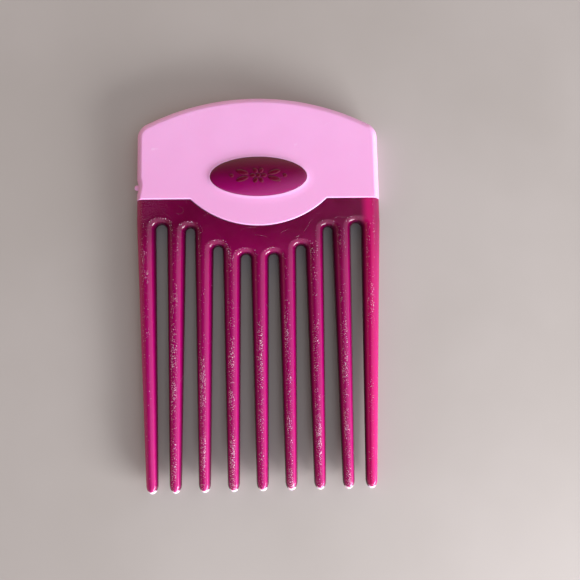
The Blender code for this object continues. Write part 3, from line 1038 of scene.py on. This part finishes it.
def make_tongue():
    """The thin part inside the grip, with a window for each plug."""
    shape, _ = core_shape()
    outline = grip_outline(TONGUE_SIDE_INSET, TONGUE_SIDE_INSET, CONTACT_GAP + TONGUE_ROOT_OVERLAP)
    prism(shape, outline, -TONGUE_HALF_THICKNESS, TONGUE_HALF_THICKNESS)
    tongue = new_object("tongue", shape)
    shape, _ = core_shape()
    for x, y in WINDOW_CENTRES:
        window = ellipse(x, y, WINDOW_RADIUS, WINDOW_RADIUS, WINDOW_SIDES)
        prism(shape, window, -CUTTER_REACH, CUTTER_REACH)
    combine(tongue, "DIFFERENCE", new_object("windows", shape))
    return tongue


def dome_height(x, y):
    """Height of the boss's dome above the mid-plane."""
    size = math.hypot(x / BOSS_HALF_WIDTH, (y - BOSS_Y) / BOSS_HALF_HEIGHT)
    edge = GRIP_HALF_THICKNESS + BOSS_EDGE_RISE
    return blend(BOSS_PEAK, edge, size ** DOME_POWER)


def oval_ring(shape, grow, z):
    """A ring of vertices round the oval, this much larger than it, at height z."""
    outline = ellipse(0.0, BOSS_Y, BOSS_HALF_WIDTH + grow, BOSS_HALF_HEIGHT + grow, BOSS_SIDES)
    return [shape.verts.new((x, y, z)) for x, y in outline]


def make_boss():
    """The oval boss: an upright wall, a rounded edge and a low dome on the front."""
    shape, _ = core_shape()
    edge = GRIP_HALF_THICKNESS + BOSS_EDGE_RISE
    rings = [oval_ring(shape, 0.0, -GRIP_HALF_THICKNESS + BOSS_BACK_RECESS)]
    for inset, rise in BOSS_EDGE:
        rings.append(oval_ring(shape, -inset, edge + rise))
    outer = 1.0 - BOSS_DOME_INSET / BOSS_HALF_HEIGHT
    for step in range(BOSS_RINGS):
        size = outer * (1.0 - step / BOSS_RINGS)
        outline = ellipse(0.0, BOSS_Y, BOSS_HALF_WIDTH * size, BOSS_HALF_HEIGHT * size, BOSS_SIDES)
        rings.append([shape.verts.new((x, y, dome_height(x, y))) for x, y in outline])
    for low, high in zip(rings, rings[1:]):
        join_rings(shape, low, high)
    shape.faces.new(list(reversed(rings[0])))
    peak = shape.verts.new((0.0, BOSS_Y, BOSS_PEAK))
    for i in range(BOSS_SIDES):
        shape.faces.new((rings[-1][i], rings[-1][(i + 1) % BOSS_SIDES], peak))
    return new_object("boss", shape)


def clear_stray_marks(core):
    """Only the tips are whitened: clear the mark of their wear and painted highlight, which the Booleans
    spread, above them.
    """
    marks = core.data.attributes["tip"].data
    for vertex, mark in zip(core.data.vertices, marks):
        if vertex.co.y > SHOULDER_Y:
            mark.value = 0.0


def make_core(material):
    """The blade, the tongue and the boss as one closed mesh."""
    core = make_blade()
    combine(core, "UNION", make_tongue())
    combine(core, "UNION", make_boss())
    clear_stray_marks(core)
    finish_piece(core, material, "comb_core")


# ---------------------------------------------------------------- ornament


def leaf_point(leaf, size, angle, side):
    """A point on a leaf's outline at this size; side -1 mirrors the leaf to the left."""
    along, across, half_length, half_width, turn = leaf
    u = size * half_length * math.cos(angle)
    v = size * half_width * math.sin(angle)
    x = along + u * math.cos(turn) - v * math.sin(turn)
    y = across + u * math.sin(turn) + v * math.cos(turn)
    return side * x, BOSS_Y + y


def add_leaf(shape, leaf, side):
    """A low pillow on the dome, rooted a little way into it."""
    rings = []
    for size, rise in LEAF_RINGS:
        ring = []
        for step in range(LEAF_SIDES):
            x, y = leaf_point(leaf, size, 2.0 * math.pi * step / LEAF_SIDES, side)
            ring.append(shape.verts.new((x, y, dome_height(x, y) + rise)))
        rings.append(ring)
    for low, high in zip(rings, rings[1:]):
        join_rings(shape, low, high)
    x, y = leaf_point(leaf, 0.0, 0.0, side)
    for ring, rise in ((rings[0], -LEAF_ROOT), (rings[-1], RELIEF)):
        middle = shape.verts.new((x, y, dome_height(x, y) + rise))
        for i in range(LEAF_SIDES):
            shape.faces.new((ring[i], ring[(i + 1) % LEAF_SIDES], middle))


def make_ornament(material):
    """A six-petalled flower between leaves, in low relief on the dome."""
    shape = bmesh.new()
    add_leaf(shape, CENTRE_DOT, 1)
    for step in range(PETAL_COUNT):
        turn = 2.0 * math.pi * step / PETAL_COUNT
        along = PETAL_DISTANCE * math.cos(turn)
        across = PETAL_DISTANCE * math.sin(turn)
        add_leaf(shape, (along, across, PETAL_HALF_LENGTH, PETAL_HALF_WIDTH, turn), 1)
    for leaf in LEAVES:
        add_leaf(shape, leaf, 1)
        add_leaf(shape, leaf, -1)
    ornament = new_object("boss_ornament", shape)
    finish_piece(ornament, material, "comb_core")


# ---------------------------------------------------------------- grip piece


def scoop_depth(y):
    """How far the left edge is hollowed at this height, round the gate mark."""
    away = abs(y - GATE_Y) / SCOOP_HALF_CHORD
    return SCOOP_DEPTH * max(0.0, 1.0 - away ** 2)


def grip_stations():
    """(outer point, side inset, lower edge's fillet) round the grip, from the lower right corner."""
    outer_crown = crown(0.0, 0.0)
    inner_crown = crown(SIDE_FLANK_WIDTH, CROWN_FLANK_WIDTH)
    stations = [((HALF_WIDTH, SKIRT_Y), (-SIDE_FLANK_WIDTH, 0.0), (0.0, EDGE_FILLET))]
    for a, b in zip(outer_crown, inner_crown):
        stations.append((a, (b[0] - a[0], b[1] - a[1]), (0.0, 0.0)))
    for step in range(SCOOP_STEPS + 1):
        y = GATE_Y + SCOOP_HALF_CHORD * (1.0 - 2.0 * step / SCOOP_STEPS)
        stations.append(((scoop_depth(y) - HALF_WIDTH, y), (SIDE_FLANK_WIDTH, 0.0), (0.0, 0.0)))
    stations.append(((-HALF_WIDTH, SKIRT_Y), (SIDE_FLANK_WIDTH, 0.0), (0.0, EDGE_FILLET)))
    edge = reversed(list(zip(lower_edge(0.0), lower_edge(-EDGE_FILLET))))
    for a, b in edge:
        stations.append((a, (0.0, 0.0), (b[0] - a[0], b[1] - a[1])))
    return stations


def side_share(level):
    """Share of the side inset at this part of the height: upright at first, then a soft shoulder."""
    return (1.0 - math.sqrt(1.0 - level ** 2)) ** SHOULDER_SOFTNESS


def edge_share(level):
    """Share of the lower edge's fillet at this part of the height."""
    rise = level * GRIP_HALF_THICKNESS - (GRIP_HALF_THICKNESS - EDGE_FILLET)
    if rise <= 0.0:
        return 0.0
    return 1.0 - math.sqrt(max(0.0, 1.0 - (rise / EDGE_FILLET) ** 2))


def grip_ring(shape, stations, level, direction):
    """A ring round the grip at this part of its height, on the front (1) or the back (-1)."""
    ring = []
    for outer, side_inset, fillet in stations:
        x = outer[0] + side_inset[0] * side_share(level) + fillet[0] * edge_share(level)
        y = outer[1] + side_inset[1] * side_share(level) + fillet[1] * edge_share(level)
        ring.append(shape.verts.new((x, y, direction * level * GRIP_HALF_THICKNESS)))
    return ring


def ring_edges(shape, ring):
    """The edges of a closed ring of vertices."""
    edges = []
    for i in range(len(ring)):
        edges.append(shape.edges.get((ring[i], ring[(i + 1) % len(ring)])))
    return edges


def make_grip_body():
    """The grip's outer shape with the oval hole and the collar round it."""
    shape = bmesh.new()
    stations = grip_stations()
    levels = [(level, -1) for level in reversed(GRIP_LEVELS)] + [(level, 1) for level in GRIP_LEVELS[1:]]
    outer = [grip_ring(shape, stations, level, direction) for level, direction in levels]
    for low, high in zip(outer, outer[1:]):
        join_rings(shape, low, high)
    hole = [oval_ring(shape, grow, GRIP_HALF_THICKNESS + rise) for grow, rise in COLLAR]
    hole += [oval_ring(shape, grow, rise - GRIP_HALF_THICKNESS) for grow, rise in BACK_HOLE_EDGE]
    for low, high in zip(hole, hole[1:]):
        join_rings(shape, low, high)
    for pair in ((outer[-1], hole[0]), (outer[0], hole[-1])):
        border = ring_edges(shape, pair[0]) + ring_edges(shape, pair[1])
        bmesh.ops.triangle_fill(shape, use_beauty=True, edges=border)
    return new_object("grip_overmould_looks", shape)


def make_tongue_pocket():
    """The room for the tongue, open at the grip's lower edge."""
    shape = bmesh.new()
    inset = TONGUE_SIDE_INSET - CONTACT_GAP
    height = TONGUE_HALF_THICKNESS + CONTACT_GAP
    prism(shape, grip_outline(inset, inset, TONGUE_ROOT_OVERLAP), -height, height)
    return new_object("tongue_pocket", shape)


def make_plugs():
    """The columns that join the two skins through the tongue's windows."""
    shape = bmesh.new()
    radius = WINDOW_RADIUS - CONTACT_GAP
    for x, y in WINDOW_CENTRES:
        plug = ellipse(x, y, radius, radius, WINDOW_SIDES)
        prism(shape, plug, -PLUG_HALF_LENGTH, PLUG_HALF_LENGTH)
    return new_object("plugs", shape)


def gate_ring(shape, x, size, slant):
    """A ring round the gate nub, with its points torn back along X by up to about twice the slant."""
    radius = GATE_RADIUS * size
    ring = []
    for step in range(GATE_SIDES):
        angle = 2.0 * math.pi * step / GATE_SIDES
        wave = math.sin(TEAR_WAVES * angle + TEAR_TURN) * TEAR_WAVE_PART
        ripple = math.cos(TEAR_RIPPLES * angle) * TEAR_RIPPLE_PART
        torn_x = x + slant * (1.0 + wave + ripple)
        y = GATE_Y + radius * math.cos(angle)
        ring.append(shape.verts.new((torn_x, y, radius * math.sin(angle))))
    return ring


def make_gate_nub():
    """The broken end of the gate: a short rod along X with a torn, slanting end."""
    shape = bmesh.new()
    left = -HALF_WIDTH - GATE_REACH
    rings = [gate_ring(shape, left + inset, size, slant) for inset, size, slant in GATE_RINGS]
    for low, high in zip(rings, rings[1:]):
        join_rings(shape, low, high)
    shape.faces.new(list(reversed(rings[0])))
    shape.faces.new(rings[-1])
    return new_object("gate_nub", shape)


def make_grip(material):
    """The grip with its pocket, its plugs and the gate mark as one closed mesh."""
    grip = make_grip_body()
    combine(grip, "DIFFERENCE", make_tongue_pocket())
    combine(grip, "UNION", make_plugs())
    combine(grip, "UNION", make_gate_nub())
    finish_piece(grip, material, "grip_overmould")


# ---------------------------------------------------------------- stage


def make_floor():
    shape = bmesh.new()
    bmesh.ops.create_grid(shape, x_segments=FLOOR_CELLS, y_segments=FLOOR_CELLS, size=FLOOR_REACH)
    mesh = bpy.data.meshes.new("floor")
    shape.to_mesh(mesh)
    shape.free()
    floor = bpy.data.objects.new("floor", mesh)
    bpy.context.scene.collection.objects.link(floor)
    mesh.materials.append(floor_material())


def make_window_light():
    """A broad low light on the right, in front, turned towards the comb."""
    data = bpy.data.lights.new("window", "AREA")
    data.shape = "RECTANGLE"
    data.size, data.size_y = KEY_SIZE
    data.energy = KEY_POWER
    data.color = KEY_COLOUR
    light = bpy.data.objects.new("window", data)
    light.location = KEY_DIRECTION.normalized() * KEY_DISTANCE
    light.rotation_mode = "QUATERNION"
    light.rotation_quaternion = (-KEY_DIRECTION).to_track_quat("-Z", "Y")
    bpy.context.scene.collection.objects.link(light)


def make_world():
    """Cool light on the window's side, a dim ceiling on the other, and warm walls behind."""
    world = bpy.data.worlds.new("studio")
    world.use_nodes = True
    bpy.context.scene.world = world
    graph = Graph(world.node_tree)
    direction = graph.add("ShaderNodeTexCoord", {}).outputs["Generated"]
    x, y, z = graph.split(direction)
    across = graph.math("MULTIPLY", x, WINDOW_X)
    towards = graph.math("SUBTRACT", across, graph.math("MULTIPLY", y, WINDOW_Y))
    room = graph.mix(graph.remap(z, *CEILING_RISE), WORLD_WARM, WORLD_DARK)
    around = graph.mix(graph.remap(towards, *WINDOW_SPREAD), room, WORLD_COOL)
    sky = graph.mix(graph.remap(y, *BACK_WALL_SPREAD), around, WORLD_BACK)
    background = world.node_tree.nodes["Background"]
    graph.tree.links.new(sky, background.inputs["Color"])
    background.inputs["Strength"].default_value = 1.0


def main():
    bpy.context.scene.view_settings.view_transform = "Standard"
    make_world()
    make_window_light()
    make_floor()
    make_core(magenta_plastic())
    make_ornament(relief_plastic())
    make_grip(pink_plastic())


main()
